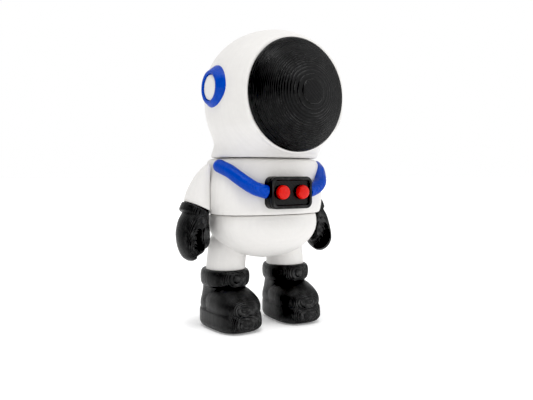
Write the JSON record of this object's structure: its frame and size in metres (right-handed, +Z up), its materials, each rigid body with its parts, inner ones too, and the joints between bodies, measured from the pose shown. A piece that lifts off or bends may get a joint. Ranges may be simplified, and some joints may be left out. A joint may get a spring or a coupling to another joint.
{
  "type": "toy astronaut figure",
  "caption": "Small printed astronaut figure in a round helmet with a domed visor, chest control box, hoses, mittens and chunky boots; head, waist, arms and boots turn on pegs.",
  "frame": {"origin": "on the table, under the middle of the figure's bounding box", "axes": "+Z up through the helmet, the figure faces -Y, its left hand is at +X"},
  "size_m": [0.0272, 0.0184, 0.044],
  "materials": {
    "white_plastic": "satin, fine printed layer lines",
    "black_plastic": "satin, printed layer lines",
    "blue_plastic": "satin, printed layer lines",
    "red_plastic": "satin, printed layer lines"
  },
  "bodies": {
    "lower": {"pelvis": "white_plastic"},
    "upper": {"torso": "white_plastic", "chest_box": "black_plastic", "button_right": "red_plastic", "button_left": "red_plastic", "hose_right": "blue_plastic", "hose_left": "blue_plastic"},
    "head": {"helmet": "white_plastic", "visor": "black_plastic", "ear_ring_right": "blue_plastic", "ear_ring_left": "blue_plastic", "ear_plug_right": "white_plastic", "ear_plug_left": "white_plastic"},
    "right_arm": {"arm_right": "white_plastic", "glove_right": "black_plastic"},
    "left_arm": {"arm_left": "white_plastic", "glove_left": "black_plastic"},
    "right_boot": {"boot_right": "black_plastic"},
    "left_boot": {"boot_left": "black_plastic"}
  },
  "joints": [
    {"name": "waist_turn", "type": "hinge", "parent": "lower", "child": "upper", "pos_m": [0, 0.00327, 0.0169], "axis": [0, 0, 1], "continuous": true},
    {"name": "neck_turn", "type": "hinge", "parent": "upper", "child": "head", "pos_m": [0, 0.00327, 0.02515], "axis": [0, 0, 1], "continuous": true},
    {"name": "right_shoulder", "type": "hinge", "parent": "upper", "child": "right_arm", "pos_m": [-0.00912, 0.00571, 0.0207], "axis": [1, 0, 0], "range_deg": [-70, 90]},
    {"name": "left_shoulder", "type": "hinge", "parent": "upper", "child": "left_arm", "pos_m": [0.00912, 0.00571, 0.0207], "axis": [1, 0, 0], "range_deg": [-70, 90]},
    {"name": "right_ankle", "type": "hinge", "parent": "lower", "child": "right_boot", "pos_m": [-0.00545, 0.00558, 0.0082], "axis": [0, 0, 1], "range_deg": [-20, 20]},
    {"name": "left_ankle", "type": "hinge", "parent": "lower", "child": "left_boot", "pos_m": [0.00545, 0.00558, 0.0082], "axis": [0, 0, 1], "range_deg": [-20, 20]}
  ]
}
